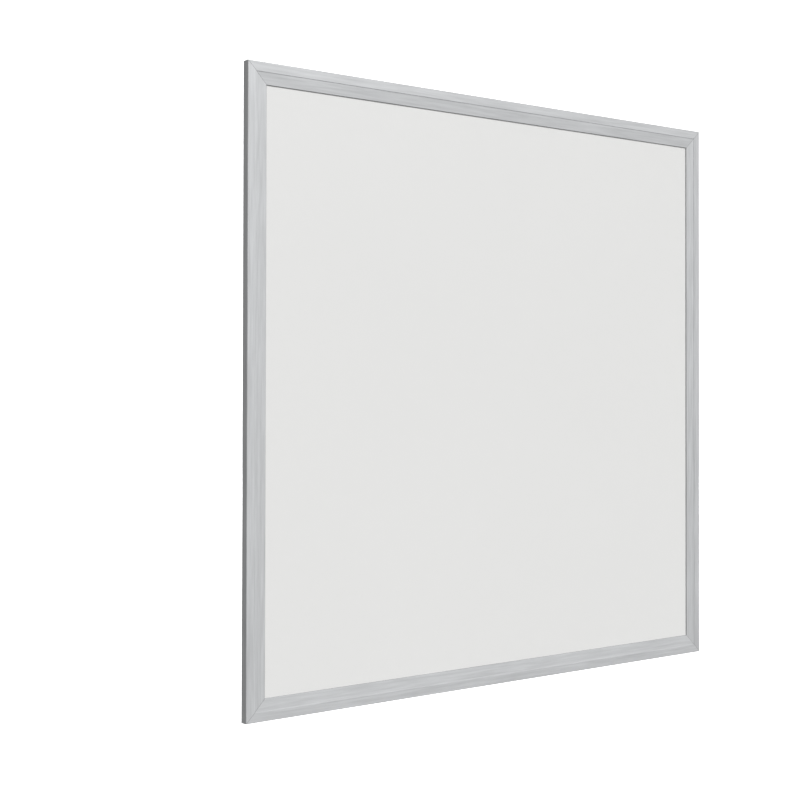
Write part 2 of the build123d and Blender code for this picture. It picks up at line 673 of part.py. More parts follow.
CLAMP_BAR_HALF = 14.5
with BuildPart() as cord_clamp:
    with BuildSketch(Plane.XY.offset(CLAMP_Z - 3)):
        with BuildLine():
            Polyline(
                (-CLAMP_BAR_HALF, CLAMP_POST_Y),
                (-5.4, CLAMP_POST_Y),
                (-4.2, CLAMP_POST_Y + 2.6),
                (4.2, CLAMP_POST_Y + 2.6),
                (5.4, CLAMP_POST_Y),
                (CLAMP_BAR_HALF, CLAMP_POST_Y),
                (CLAMP_BAR_HALF, CLAMP_POST_Y + 2.2),
                (7.0, CLAMP_POST_Y + 2.2),
                (5.0, CLAMP_POST_Y + 4.8),
                (-5.0, CLAMP_POST_Y + 4.8),
                (-7.0, CLAMP_POST_Y + 2.2),
                (-CLAMP_BAR_HALF, CLAMP_POST_Y + 2.2),
                close=True,
            )
        make_face()
    extrude(amount=6)
    with BuildSketch(at(CLAMP_POST_Y)):
        with Locations((-CLAMP_SCREW_X, CLAMP_Z), (CLAMP_SCREW_X, CLAMP_Z)):
            Circle(POST_HOLE_R + 0.3)
    extrude(amount=-2.2, mode=Mode.SUBTRACT)
save("cord_clamp", cord_clamp.part)

SMALL_SHANK_R = POST_HOLE_R - 0.02
with BuildPart() as clamp_screws:
    for way in (1, -1):
        add(pan_head((way * CLAMP_SCREW_X, CLAMP_POST_Y + 2.2, CLAMP_Z), 2.0, 1.4, SMALL_SHANK_R, 8, 0.9))
save("clamp_screws", clamp_screws.part)

with BuildPart() as lid_screws:
    for x, z in LID_SCREW_SPOTS:
        add(pan_head((x, CASE_RIM_Y + LID_THICK, z), 2.0, 1.4, SMALL_SHANK_R, 9, 0.9))
save("lid_screws", lid_screws.part)

with BuildPart() as board_screws:
    for x, z in PCB_POSTS:
        add(pan_head((x, PCB_TOP_Y, z), 1.9, 1.3, SMALL_SHANK_R, 4, 0.8))
save("board_screws", board_screws.part)

EAR_BACK_Y = CASE_BACK_OF_PAD_Y + CASE_WALL + 0.6
with BuildPart() as driver_screws:
    for x, z in PADS:
        add(pan_head((x, EAR_BACK_Y, z), 3.2, 2.2, DRIVER_SCREW_R, 7.5, 1.6))
save("driver_screws", driver_screws.part)

# ---------------------------------------------------------------- driver board
with BuildPart() as driver_board:
    with BuildSketch(at(PCB_Y)):
        with Locations((0, (PCB_TOP_Z + PCB_BOTTOM_Z) / 2)):
            Rectangle(2 * PCB_HALF_W, PCB_TOP_Z - PCB_BOTTOM_Z)
        with Locations(*[(x, z) for x, z in LID_SCREW_SPOTS if z < 0]):
            Rectangle(2 * LID_POST_HALF + 0.6, 2 * LID_POST_HALF + 0.6, mode=Mode.SUBTRACT)
        with Locations(*PCB_POSTS):
            Circle(POST_HOLE_R + 0.2, mode=Mode.SUBTRACT)
    extrude(amount=-PCB_THICK)
save("driver_board", driver_board.part)


def on_board(y=0.0):
    """The sketch plane `y` above the driver board's back face."""
    return at(PCB_TOP_Y + y)


TRANSFORMER_Z = 18.0
CORE_HALF_W = 11.0
CORE_HALF_L = 8.0
LEG_HALF_W = 3.8
WINDOW_HALF_W = 8.8
with BuildPart() as transformer_core:
    with BuildSketch(on_board()):
        with Locations((0, TRANSFORMER_Z)):
            Rectangle(2 * CORE_HALF_W, 2 * CORE_HALF_L)
    extrude(amount=-12.5)
    with BuildSketch(Plane.XY.offset(TRANSFORMER_Z)):
        for way in (1, -1):
            with Locations((way * (LEG_HALF_W + WINDOW_HALF_W) / 2, PCB_TOP_Y + 6.25)):
                Rectangle(WINDOW_HALF_W - LEG_HALF_W, 8.5)
    extrude(amount=CORE_HALF_L, both=True, mode=Mode.SUBTRACT)
save("transformer_core", transformer_core.part)

with BuildPart() as transformer_winding:
    with BuildSketch(on_board(2.2)):
        with Locations((0, TRANSFORMER_Z)):
            RectangleRounded(2 * WINDOW_HALF_W - 0.4, 2 * CORE_HALF_L + 9, 3.5)
            Rectangle(2 * LEG_HALF_W + 0.2, 2 * CORE_HALF_L + 0.2, mode=Mode.SUBTRACT)
    extrude(amount=-8.1)
save("transformer_winding", transformer_winding.part)

with BuildPart() as filter_choke:
    with BuildSketch(Plane.XY.offset(-14)):
        with Locations((10, PCB_TOP_Y + 6.2)):
            Circle(6.0)
            Circle(2.4, mode=Mode.SUBTRACT)
    extrude(amount=7)
    fillet(filter_choke.edges().filter_by(GeomType.CIRCLE), 1.0)
save("filter_choke", filter_choke.part)


def can(x, z, radius, length):
    """An electrolytic capacitor that lies on the board, with the groove near one end of its can."""
    y = PCB_TOP_Y + radius + 0.1
    with BuildPart() as body:
        with BuildSketch(Plane(origin=(x, y, z), x_dir=(1, 0, 0), z_dir=(0, -1, 0))):
            with BuildLine():
                Polyline(
                    (0, 0),
                    (radius - 0.5, 0),
                    (radius, 0.5),
                    (radius, 2.2),
                    (radius - 0.4, 2.6),
                    (radius, 3.0),
                    (radius, length - 0.5),
                    (radius - 0.5, length),
                    (0, length),
                    close=True,
                )
            make_face()
        revolve(axis=Axis((x, y, z), (0, 0, 1)))
    return body.part


with BuildPart() as bulk_capacitor:
    add(can(-13, -16, 5.2, 20))
save("bulk_capacitor", bulk_capacitor.part)

with BuildPart() as output_capacitors:
    add(can(-16.5, 34, 4.2, 16))
    add(can(-7.0, 34, 4.2, 16))
save("output_capacitors", output_capacitors.part)

with BuildPart() as film_capacitor:
    with BuildSketch(on_board()):
        with Locations((-3.5, -22.5)):
            Rectangle(15, 6)
    extrude(amount=-10.5)
    fillet(film_capacitor.edges().filter_by(Axis.Y), 0.6)
save("film_capacitor", film_capacitor.part)

with BuildPart() as fuse:
    with BuildSketch(on_board()):
        with Locations((9.5, -23)):
            Circle(3.2)
    extrude(amount=-7)
    fillet(fuse.faces().sort_by(Axis.Y)[-1].edges(), 0.6)
save("fuse", fuse.part)

with BuildPart() as heat_sink:
    with BuildSketch(Plane.XY.offset(0)):
        with BuildLine():
            sink_x = 18.6
            Polyline(
                (sink_x, PCB_TOP_Y),
                (sink_x + 2, PCB_TOP_Y),
                (sink_x + 2, PCB_TOP_Y + 11),
                (sink_x - 5, PCB_TOP_Y + 11),
                (sink_x - 5, PCB_TOP_Y + 9.4),
                (sink_x, PCB_TOP_Y + 9.4),
                close=True,
            )
        make_face()
    extrude(amount=30)
save("heat_sink", heat_sink.part)

with BuildPart() as power_transistor:
    with BuildSketch(on_board(0.4)):
        with Locations((sink_x - 2.3, 10)):
            Rectangle(4.4, 9)
    extrude(amount=-8.6)
save("power_transistor", power_transistor.part)

with BuildPart() as control_chips:
    with BuildSketch(on_board()):
        with Locations((-17.5, 14), (-17.5, 24), (5, 42)):
            Rectangle(4.4, 5.2)
    extrude(amount=-1.6)
save("control_chips", control_chips.part)

with BuildPart() as output_terminal:
    with BuildSketch(on_board()):
        with Locations((0, 59)):
            Rectangle(11, 9)
    extrude(amount=-8)
    chamfer(output_terminal.edges().filter_by(Axis.X).group_by(Axis.Y)[-1], 0.8)
    with BuildSketch(Plane.XY.offset(63.5)):
        with Locations((-2.5, PCB_TOP_Y + 4), (2.5, PCB_TOP_Y + 4)):
            Circle(WIRE_R + 0.2)
    extrude(amount=-5, mode=Mode.SUBTRACT)
save("output_terminal", output_terminal.part)

# ---------------------------------------------------------------- grommet and output leads
GROMMET_BORE_R = 3.8
with BuildPart() as lead_grommet:
    sheet_middle = (LEAD_HOLE[0], PLATEAU_Y - SHEET, LEAD_HOLE[1])
    with BuildSketch(Plane(origin=sheet_middle, x_dir=(1, 0, 0), z_dir=(0, 0, 1))):
        with BuildLine():
            Polyline(
                (GROMMET_BORE_R, -0.8),
                (LEAD_HOLE_R + 1.6, -0.8),
                (LEAD_HOLE_R + 1.6, 0),
                (LEAD_HOLE_R, 0),
                (LEAD_HOLE_R, SHEET),
                (LEAD_HOLE_R + 1.8, SHEET),
                (LEAD_HOLE_R + 1.4, SHEET + 1.4),
                (GROMMET_BORE_R, SHEET + 1.4),
                close=True,
            )
        make_face()
    revolve(axis=Axis(sheet_middle, (0, 1, 0)))
save("lead_grommet", lead_grommet.part)

LEAD_BEND_R = 3.2
LEAD_X = 2.5
TERMINAL_WIRE_Y = PCB_TOP_Y + 4
for colour, way in (("red", 1), ("black", -1)):
    lead_x = way * LEAD_X
    with BuildPart() as lead:
        with BuildLine():
            FilletPolyline(
                (lead_x, WIRE_Y, CONNECTOR_Z - SPLICE_HALF_H),
                (lead_x, WIRE_Y, LEAD_HOLE[1]),
                (lead_x, TERMINAL_WIRE_Y, LEAD_HOLE[1]),
                (lead_x, TERMINAL_WIRE_Y, 59.5),
                radius=LEAD_BEND_R,
            )
        with BuildSketch(Plane.XY.offset(CONNECTOR_Z - SPLICE_HALF_H)):
            with Locations((lead_x, WIRE_Y)):
                Circle(WIRE_R)
        sweep()
    save(f"output_lead_{colour}", lead.part)
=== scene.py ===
# %% [markdown]
# # A ceiling LED panel, dressed around its engineering model
#
# The engineering model gives every part its true size and place. This lesson gives them their looks: satin
# aluminium, opal acrylic, powder-coated steel and moulded plastic. We start by loading the model as a fixed
# frame. All lengths in Blender are metres, X runs across the panel, Z up it, and Y from its lit front to
# its back.

# %% Load the frame
import json
from math import cos, pi, radians, sin

import bmesh
import bpy
from mathutils import Euler, Matrix, Vector


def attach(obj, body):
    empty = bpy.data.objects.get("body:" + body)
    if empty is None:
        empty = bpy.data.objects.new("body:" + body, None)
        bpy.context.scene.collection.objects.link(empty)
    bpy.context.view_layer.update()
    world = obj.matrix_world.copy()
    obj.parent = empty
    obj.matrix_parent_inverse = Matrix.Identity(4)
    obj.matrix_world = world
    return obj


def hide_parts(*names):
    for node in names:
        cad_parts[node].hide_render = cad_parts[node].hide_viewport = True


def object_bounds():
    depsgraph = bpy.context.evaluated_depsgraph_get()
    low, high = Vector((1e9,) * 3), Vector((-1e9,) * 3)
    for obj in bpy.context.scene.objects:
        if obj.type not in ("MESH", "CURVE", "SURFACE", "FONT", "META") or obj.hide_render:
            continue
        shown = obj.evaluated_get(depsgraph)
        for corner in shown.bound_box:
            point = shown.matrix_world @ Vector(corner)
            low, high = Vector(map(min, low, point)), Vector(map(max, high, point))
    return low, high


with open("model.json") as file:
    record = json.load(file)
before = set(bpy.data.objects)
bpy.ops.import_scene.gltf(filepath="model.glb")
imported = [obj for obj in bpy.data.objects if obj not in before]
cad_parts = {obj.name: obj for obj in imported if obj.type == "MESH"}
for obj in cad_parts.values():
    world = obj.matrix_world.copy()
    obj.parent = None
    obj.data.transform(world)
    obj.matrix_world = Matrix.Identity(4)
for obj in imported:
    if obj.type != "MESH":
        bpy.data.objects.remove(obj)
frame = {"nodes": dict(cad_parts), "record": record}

cad_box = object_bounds()
low, high = Vector(cad_box[0]), Vector(cad_box[1])
nodes = frame["nodes"]
record = frame["record"]
slot_of = {part["node"]: part["material_slot"] for part in record["subparts"]}
base_colour = {entry["slot"]: entry["base_color"][:3] for entry in record["materials"]}
body_of = {node: body for body, members in record["behaviour"]["bodies"].items() for node in members}
MM = 0.001
print("parts:", len(nodes), "box:", [round(v, 4) for v in low], [round(v, 4) for v in high])

# %% [markdown]
# ## The camera
#
# A camera is described best in the words a photographer would use: where it stands, which way it looks and
# how long its lens is. It stands well to the left of the panel and level with its middle, so the left edge
# is nearer and taller. A small shift moves the picture with almost no tilt, so the uprights stay nearly
# parallel.

# %% Camera
front_middle = Vector((0, low.y, 0))
CAMERA_DISTANCE = 1.4303
CAMERA_SIDE = radians(40.383)
CAMERA_RISE = 0.003
VIEW_YAW = radians(36.245)
VIEW_PITCH = radians(0.733)
VIEW_ROLL = radians(0.104)

camera_data = bpy.data.cameras.new("view_camera")
camera_data.sensor_width = 36
camera_data.lens = 62.917
camera_data.shift_y = -0.0376
camera_data.clip_end = 50
camera = bpy.data.objects.new("view_camera", camera_data)
bpy.context.scene.collection.objects.link(camera)
camera.location = front_middle + Vector(
    (-CAMERA_DISTANCE * sin(CAMERA_SIDE), -CAMERA_DISTANCE * cos(CAMERA_SIDE), CAMERA_RISE)
)
look = Euler((pi / 2 + VIEW_PITCH, 0, -VIEW_YAW), "XYZ").to_matrix()
camera.rotation_euler = (look @ Matrix.Rotation(VIEW_ROLL, 3, "Z")).to_euler()
bpy.context.scene.camera = camera
print("camera at", [round(v, 3) for v in camera.location])

# %% [markdown]
# ## A small language for node trees
#
# Shader and geometry trees are graphs of nodes joined by wires. Written out in full, a simple sum takes
# four lines. Two helpers make them short. `Wire` stands for one output, and its operators add Math nodes,
# so `1 - mask * 0.2` can be written as it is meant. `Graph.add` makes any other node: its settings are set
# first, then its sockets.


# %% Wires and graphs
class Wire:
    """One output socket. Arithmetic on it adds Math nodes."""

    def __init__(self, graph, socket):
        self.graph = graph
        self.socket = socket

    def math(self, operation, other=0.0, flip=False):
        left, right = (other, self) if flip else (self, other)
        return self.graph.add("ShaderNodeMath", {"operation": operation}, {0: left, 1: right})

    def __add__(self, other):
        return self.math("ADD", other)

    def __sub__(self, other):
        return self.math("SUBTRACT", other)

    def __rsub__(self, other):
        return self.math("SUBTRACT", other, flip=True)

    def __mul__(self, other):
        return self.math("MULTIPLY", other)

    __radd__ = __add__
    __rmul__ = __mul__


class Graph:
    """A node tree that grows one call at a time."""

    def __init__(self, tree):
        self.tree = tree

    def add(self, kind, settings=None, sockets=None, out=0):
        node = self.tree.nodes.new(kind)
        for name, value in (settings or {}).items():
            setattr(node, name, value)
        for name, value in (sockets or {}).items():
            if isinstance(value, Wire):
                self.tree.links.new(value.socket, node.inputs[name])
            else:
                node.inputs[name].default_value = value
        return Wire(self, node.outputs[out]) if node.outputs else None

    def mix(self, factor, first, second):
        """A colour between two colours."""
        sockets = {0: factor, 6: rgba(first), 7: rgba(second)}
        return self.add("ShaderNodeMix", {"data_type": "RGBA"}, sockets, out=2)

    def noise(self, place, scale, detail=3.0, roughness=0.55):
        sockets = {"Vector": place, "Scale": scale, "Detail": detail, "Roughness": roughness}
        return self.add("ShaderNodeTexNoise", None, sockets)

    def ramp(self, value, start, end, low_value=0.0, high_value=1.0):
        """Spreads start..end of a value over low_value..high_value, and holds it there."""
        sockets = {0: value, 1: start, 2: end, 3: low_value, 4: high_value}
        return self.add("ShaderNodeMapRange", {"clamp": True}, sockets)

    def stretched(self, place, scale):
        return self.add("ShaderNodeMapping", None, {"Vector": place, "Scale": scale})

    def along(self, vector, axis):
        """One coordinate of a vector."""
        return self.add("ShaderNodeSeparateXYZ", None, {0: vector}, out=axis)


def rgba(colour):
    return colour if isinstance(colour, Wire) else (*colour, 1.0)


def shade(colour, factor):
    return tuple(min(1.0, channel * factor) for channel in colour)


# %% [markdown]
# ## One way to make a finish
#
# Every finish here is a Principled shader whose colour, roughness and bump vary over the surface. `finish`
# makes the shader. A recipe adds what varies and returns it by socket name, with the bump's pattern as
# Height. The numbers that stay the same all over, such as how metallic it is or a clear coat's roughness,
# are set on the shader itself.


# %% Finish maker
def finish(name, recipe, bump_height=0.0, **constants):
    material = bpy.data.materials.new(name)
    material.use_nodes = True
    material.node_tree.nodes.clear()
    graph = Graph(material.node_tree)
    place = graph.add("ShaderNodeTexCoord", None, None, out="Object")
    sockets = recipe(graph, place)
    height = sockets.pop("Height", None)
    if height is not None:
        bump = {"Height": height, "Strength": 1.0, "Distance": bump_height}
        if "Normal" in sockets:
            bump["Normal"] = sockets["Normal"]
        sockets["Normal"] = graph.add("ShaderNodeBump", None, bump)
    sockets.update({key.replace("_", " "): value for key, value in constants.items()})
    shader = graph.add("ShaderNodeBsdfPrincipled", None, sockets)
    graph.add("ShaderNodeOutputMaterial", None, {"Surface": shader})
    return material


# %% [markdown]
# ## Drawn and coated aluminium
#
# The frame's members are extrusions, finished in satin silver. Drawing the metal through its die leaves
# streaks along each member, so the noise is stretched: it changes slowly along the member and quickly
# across it. The members run two ways, so the recipe takes the direction. Two fine dark lines are painted
# into the colour. One is painted shade where the lip comes down to the diffuser, a fixed distance out
# from the middle. The other is the mitre's dark joint, where X and Z are equally far out.


# %% Silver frame finish
LIP_WIDTH = 20.3 * MM
LIP_EDGE = high.x - LIP_WIDTH
STREAKS_ACROSS = 430.0
STREAKS_ALONG = 20.0
CREVICE_WIDTH = 0.6 * MM
MITRE_EDGE = (0.1 * MM, 0.35 * MM)  # where the mitre's dark line starts and stops fading
# The colour of the painted shade at the lip's inner edge, and of the mitre's dark joint.
LIP_SHADE_AND_MITRE_DARK = (0.06, 0.06, 0.06)


def drawn_aluminium(direction):
    def recipe(graph, place):
        stretch = [STREAKS_ALONG if axis == direction else STREAKS_ACROSS for axis in "XYZ"]
        streaks = graph.noise(graph.stretched(place, stretch), 1.0, 4.0, 0.6)
        patches = graph.noise(place, 9.0, 3.0)
        flakes = graph.noise(place, 2600.0, 1.0)
        tone = graph.ramp(streaks, 0.3, 0.7) * 0.7 + flakes * 0.2 + patches * 0.1
        across = graph.along(place, "X").math("ABSOLUTE")
        up = graph.along(place, "Z").math("ABSOLUTE")
        # Painted shade: the frame is darker at the lip's inner edge, where shadow falls into the gap at the
        # diffuser.
        crevice_shade = graph.ramp(across.math("MAXIMUM", up), LIP_EDGE, LIP_EDGE + CREVICE_WIDTH, 0.45, 0.0)
        mitre = graph.ramp((across - up).math("ABSOLUTE"), *MITRE_EDGE, 0.5, 0.0)
        silver = base_colour["anodised_frame"]
        metal_tone = graph.mix(tone, shade(silver, 0.80), shade(silver, 1.06))
        return {
            "Base Color": graph.mix(crevice_shade.math("MAXIMUM", mitre), metal_tone, LIP_SHADE_AND_MITRE_DARK),
            "Roughness": 0.44 + patches * 0.12 + streaks * 0.1,
            "Height": streaks * 0.6 + flakes * 0.4,
        }

    name = f"drawn_aluminium_{direction.lower()}"
    return finish(name, recipe, 0.02 * MM, Metallic=0.3, Specular_IOR_Level=0.35)


silver_finish = {"X": drawn_aluminium("X"), "Z": drawn_aluminium("Z")}

# %% [markdown]
# ## Opal acrylic
#
# The diffuser is milky acrylic with a matt, faintly pebbled face. It has almost no pattern, which is the
# hard part: a flat colour looks like paper. A very shallow pebble bump breaks the reflection up, subsurface
# scattering softens the shadow of the rim, and a weak cloud in the colour stands for the sheet's small
# changes in thickness.


# %% Opal finish
def opal(graph, place):
    pebble = graph.noise(place, 1500.0, 2.0)
    cloud = graph.noise(place, 3.0, 2.0)
    milk = shade(base_colour["opal_diffuser"], 0.87)
    return {
        "Base Color": graph.mix(cloud, shade(milk, 0.985), shade(milk, 1.012)),
        "Roughness": 0.42 + pebble * 0.14,
        "Height": pebble,
    }


opal_finish = finish(
    "opal_acrylic",
    opal,
    0.015 * MM,
    Subsurface_Weight=0.15,
    Subsurface_Radius=(0.004, 0.004, 0.004),
    IOR=1.49,
)

# %% [markdown]
# ## Powder-coated steel
#
# Powder coat flows as it bakes and sets with a soft orange-peel skin, about two millimetres from one hump
# to the next. A finer grain rides on it. Dust settles most on what faces up, so the surface normal's height
# mixes in a warmer tone, and faint scuffs, long in one direction, are a little glossier than what is round
# them. Pressed sheet has no sharp edges, so a Bevel node turns the normals round each edge over a
# millimetre or two.


# %% Powder coat finish
DUST = (0.62, 0.58, 0.52)
BEND_R = 1.5 * MM


def powder_coat(colour):
    def recipe(graph, place):
        peel = graph.noise(place, 420.0, 2.0, 0.4)
        grain = graph.noise(place, 2400.0, 1.0)
        handling = graph.noise(place, 7.0, 4.0)
        scuffs = graph.ramp(graph.noise(graph.stretched(place, (30, 30, 420)), 1.0, 2.0), 0.66, 0.72)
        facing = graph.add("ShaderNodeNewGeometry", None, None, out="Normal")
        dust = graph.ramp(graph.along(facing, "Z"), 0.3, 1.0, 0.0, 0.35) * handling
        paint = graph.mix(handling, shade(colour, 0.97), shade(colour, 1.02))
        return {
            "Base Color": graph.mix(dust, paint, DUST),
            "Roughness": 0.44 + handling * 0.12 - scuffs * 0.1 + dust * 0.3,
            "Normal": graph.add("ShaderNodeBevel", {"samples": 6}, {"Radius": BEND_R}),
            "Height": peel * 0.7 + grain * 0.3,
        }

    return finish("powder_coat", recipe, 0.03 * MM, Coat_Weight=0.06, Coat_Roughness=0.35)


# %% [markdown]
# ## Moulded plastics, rubbers and foams
#
# Moulded parts take the texture of their mould. Spark-eroded steel leaves a fine, even grain, and a slow
# change in gloss shows how the plastic flowed. One recipe serves them all: the grain's scale and depth and
# the roughness make polycarbonate, nylon, PVC, rubber or foam.


# %% Moulded finish
def moulded(name, colour, rough, grain_scale=1100.0, depth=0.02, spread=0.05, **constants):
    def recipe(graph, place):
        grain = graph.noise(place, grain_scale, 2.0)
        flow = graph.noise(place, 60.0, 3.0)
        tone = grain * 0.4 + flow * 0.6
        return {
            "Base Color": graph.mix(tone, shade(colour, 1 - spread), shade(colour, 1 + spread)),
            "Roughness": rough + flow * 0.12,
            "Height": grain,
        }

    return finish(name, recipe, depth * MM, **constants)


# %% [markdown]
# ## Bare metals
#
# Plated screws, copper strips and the aluminium heat sink are true metals, so their colour lives in the
# reflection. Fine scratches come from a noise that changes quickly along one axis and slowly along the
# others, except on cast zinc, where it is even. Tarnish gathers in patches that are darker and rougher.


# %% Bare metal finish
def bare_metal(name, colour, rough, stretch=(1800, 160, 160), tarnish=0.25):
    def recipe(graph, place):
        scratches = graph.noise(graph.stretched(place, stretch), 1.0, 3.0)
        patches = graph.ramp(graph.noise(place, 220.0, 4.0), 0.45, 0.7)
        dulled = patches * tarnish
        return {
            "Base Color": graph.mix(dulled, colour, shade(colour, 0.55)),
            "Roughness": rough + scratches * 0.15 + dulled * 0.5,
            "Height": scratches,
        }

    return finish(name, recipe, 0.008 * MM, Metallic=1.0)


# %% [markdown]
# ## Circuit boards
#
# Solder mask is a thin glossy lacquer over copper tracks, which show as raised lines, lighter than a green
# board and darker than a white one. Tracks run straight, so the board is divided into small cells. A random
# number for each cell says whether its track runs up, runs across or is missing. Long random runs then look
# like a layout, with no drawing at all.


# %% Circuit board finish
TRACK_CELL = 1.6 * MM
TRACK_EDGE = (0.13, 0.19)  # where a track's edge starts and ends, in cells from its middle line
UP_ABOVE = 0.38  # a cell whose random number is higher has a track that runs up
ACROSS_BELOW = 0.22  # a cell whose random number is lower has one that runs across


def circuit(name, colour, track_lift):
    def recipe(graph, place):
        columns = graph.along(place, "X") * (1 / TRACK_CELL)
        rows = graph.along(place, "Z") * (1 / TRACK_CELL)
        cell = graph.add("ShaderNodeCombineXYZ", None, {0: columns.math("FLOOR"), 1: rows.math("FLOOR")})
        chance = graph.add("ShaderNodeTexWhiteNoise", {"noise_dimensions": "3D"}, {"Vector": cell})
        from_column = (columns.math("FRACT") - 0.5).math("ABSOLUTE")
        from_row = (rows.math("FRACT") - 0.5).math("ABSOLUTE")
        up = graph.ramp(from_column, *TRACK_EDGE, 1.0, 0.0) * chance.math("GREATER_THAN", UP_ABOVE)
        across = graph.ramp(from_row, *TRACK_EDGE, 1.0, 0.0) * chance.math("LESS_THAN", ACROSS_BELOW)
        tracks = up.math("MAXIMUM", across)
        stains = graph.noise(place, 90.0, 3.0)
        mask = graph.mix(tracks, colour, shade(colour, track_lift))
        return {
            "Base Color": graph.mix(stains * 0.25, mask, shade(colour, 0.7)),
            "Roughness": 0.28 + stains * 0.2,
            "Height": tracks,
        }

    return finish(name, recipe, 0.03 * MM, Coat_Weight=0.2, Coat_Roughness=0.15)


# %% [markdown]
# ## A finish for every slot
#
# Each part's record names a material slot. This list pairs each slot with a recipe, so a part added later
# finds its finish by itself. The base colours come from the record, except the clear acrylic's. The LED
# packages share the connectors' white.

# %% Finishes by slot
colour_of = base_colour.get
finishes = {
    "anodised_frame": silver_finish["X"],
    "opal_diffuser": opal_finish,
    "white_steel": powder_coat(colour_of("white_steel")),
    "black_screw": moulded("black_oxide", colour_of("black_screw"), 0.34, 1500, 0.01, Metallic=0.6),
    "gasket_foam": moulded("gasket_foam", colour_of("gasket_foam"), 0.85, 1800, 0.12),
    "pad_foam": moulded("pad_foam", colour_of("pad_foam"), 0.8, 1500, 0.12),
    "thermal_tape": moulded("thermal_tape", colour_of("thermal_tape"), 0.6, 900, 0.03),
    "connector_white": moulded("connector_nylon", colour_of("connector_white"), 0.42),
    "clamp_plastic": moulded("clamp_nylon", colour_of("clamp_plastic"), 0.45),
    "driver_plastic": moulded("driver_polycarbonate", colour_of("driver_plastic"), 0.5, 1300, 0.05, 0.03),
    "terminal_grey": moulded("terminal_polyamide", colour_of("terminal_grey"), 0.42, 1200, 0.03),
    "button_orange": moulded("button_nylon", colour_of("button_orange"), 0.36, 1200, 0.02),
    "wire_red": moulded("red_pvc", colour_of("wire_red"), 0.38, 600, 0.01),
    "wire_black": moulded("black_pvc", colour_of("wire_black"), 0.38, 600, 0.01),
    "grommet_rubber": moulded("grommet_rubber", colour_of("grommet_rubber"), 0.62, 900, 0.03),
    "reflector_film": moulded("foamed_pet", colour_of("reflector_film"), 0.7, 1400, 0.02, 0.02),
    "ferrite": moulded("ferrite", colour_of("ferrite"), 0.6, 2200, 0.04, 0.2),
    "winding_tape": moulded("polyester_tape", colour_of("winding_tape"), 0.25, 300, 0.02, 0.08),
    "capacitor_sleeve": moulded("capacitor_sleeve", colour_of("capacitor_sleeve"), 0.28, 200, 0.02, 0.1),
    "film_capacitor_case": moulded("film_capacitor_case", colour_of("film_capacitor_case"), 0.4),
    "fuse_case": moulded("fuse_case", colour_of("fuse_case"), 0.3),
    "chip_black": moulded("epoxy_package", colour_of("chip_black"), 0.5, 1600, 0.03, 0.2),
    "led_chip": moulded("led_package", colour_of("connector_white"), 0.42),
    "plated_steel": bare_metal("zinc_plate", colour_of("plated_steel"), 0.24),
    "copper": bare_metal("tinned_copper", colour_of("copper"), 0.25),
    "copper_winding": bare_metal("enamelled_wire", colour_of("copper_winding"), 0.3),
    "bare_aluminium": bare_metal("mill_aluminium", colour_of("bare_aluminium"), 0.32, (160, 160, 1800)),
    "zinc_key": bare_metal("cast_zinc", colour_of("zinc_key"), 0.45, (500, 500, 500), 0.4),
    "board_white": circuit("white_board", colour_of("board_white"), 0.93),
    "circuit_board": circuit("green_board", colour_of("circuit_board"), 1.5),
    "lens_acrylic": moulded("clear_acrylic", (0.95, 0.96, 0.97), 0.06, 300, 0.002, 0.01, Alpha=0.3),
}
for name, node in nodes.items():
    chosen = finishes[slot_of[name]]
    if name in ("frame_left", "frame_right"):
        chosen = silver_finish["Z"]
    for material_slot in node.material_slots:
        material_slot.material = chosen
print("finishes:", len(finishes))

# %% [markdown]
# ## Smooth skins for the curved parts
#
# The model's curved surfaces come as flat facets. A pressed cover shows that at once, because its long soft
# bends catch the light. A copy of each curved part gets its doubled points merged. Its stored normals
# belong to the loose facets, so they are removed. Then it is shaded smooth up to a sharp angle, with
# normals weighted by face area, so that flat faces stay flat and bends turn evenly. The shape itself
# doesn't change.


# %% Smooth skins
SAME_POINT = 0.002 * MM  # points closer than this are one point
NO_LENGTH = 0.001 * MM  # an edge shorter than this is dropped


def smooth_skin(name, sharp=radians(30)):
    """A smooth-shaded copy of a part, which stands for it."""
    mesh = nodes[name].data.copy()
    shell = bmesh.new()
    shell.from_mesh(mesh)
    bmesh.ops.remove_doubles(shell, verts=shell.verts, dist=SAME_POINT)
    bmesh.ops.dissolve_degenerate(shell, edges=shell.edges, dist=NO_LENGTH)
    shell.to_mesh(mesh)
    shell.free()
    mesh.attributes.remove(mesh.attributes["custom_normal"])
    mesh.shade_smooth()
    mesh.set_sharp_from_angle(angle=sharp)
    skin = bpy.data.objects.new(f"{name}_skin", mesh)
    bpy.context.scene.collection.objects.link(skin)
    weighted = skin.modifiers.new("even_normals", "WEIGHTED_NORMAL")
    weighted.keep_sharp = True
    weighted.weight = 90
    return stand_in(skin, name)


def stand_in(piece, name):
    """Makes a piece take a part's place, body and slot."""
    if not piece.material_slots:
        piece.data.materials.append(finishes[slot_of[name]])
    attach(piece, body_of[name])
    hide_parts(name)
    return piece


CURVED = [
    "back_cover",
    "driver_case",
    "driver_lid",
    "terminal_cover",
    "hinge_pin",
    "cord_clamp",
    "lead_grommet",
    "output_lead_red",
    "output_lead_black",
    "jumper_wires_red",
    "jumper_wires_black",
    "lenses",
    "reflector",
    "bulk_capacitor",
    "output_capacitors",
    "transformer_winding",
    "fuse",
    "film_capacitor",
]
for name in CURVED:
    smooth_skin(name)
print("smooth skins:", len(CURVED))

# %% [markdown]
# ## Where the screws are
#
# The screws come from the model as groups of separate solids. To put a finely made screw in each place, we
# need the places. Points that share an edge belong to one screw, so walking the merged mesh gives each
# screw's own box.


